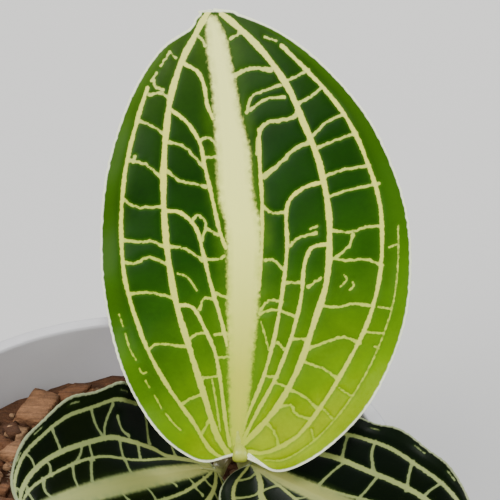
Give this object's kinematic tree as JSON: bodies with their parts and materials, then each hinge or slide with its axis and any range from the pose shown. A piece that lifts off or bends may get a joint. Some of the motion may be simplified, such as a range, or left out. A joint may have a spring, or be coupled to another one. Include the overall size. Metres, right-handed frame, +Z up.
{
  "type": "potted jewel orchid",
  "caption": "Potted jewel orchid: broad net-veined leaves on a creeping stem, in bark mix in a plain tapered plastic pot.",
  "frame": {"origin": "centre of the pot's underside", "axes": "+Z up, +Y to the back of the pot, the upright leaf's face turned to -Y, +X to its right"},
  "size_m": [0.1017, 0.1274, 0.1453],
  "materials": {
    "pot_plastic": "pale grey moulded plastic, softly satin, with faint scuffs",
    "bark": "rough fir bark chips, dull, with tufts of moss",
    "stem": "fleshy living stem, brown-olive, slightly translucent, with hairy roots",
    "young_leaf": "living leaf, dark green to lime with a cream vein net, velvety sheen",
    "old_leaf": "living leaf, blackish green with a pale olive vein net, velvety sheen"
  },
  "bodies": {
    "root": {"pot": "pot_plastic", "potting_mix": "bark", "rhizome_stem": "stem", "leaf_upright": "young_leaf", "leaf_left": "old_leaf", "leaf_right": "old_leaf", "leaf_back": "old_leaf"}
  },
  "joints": []
}
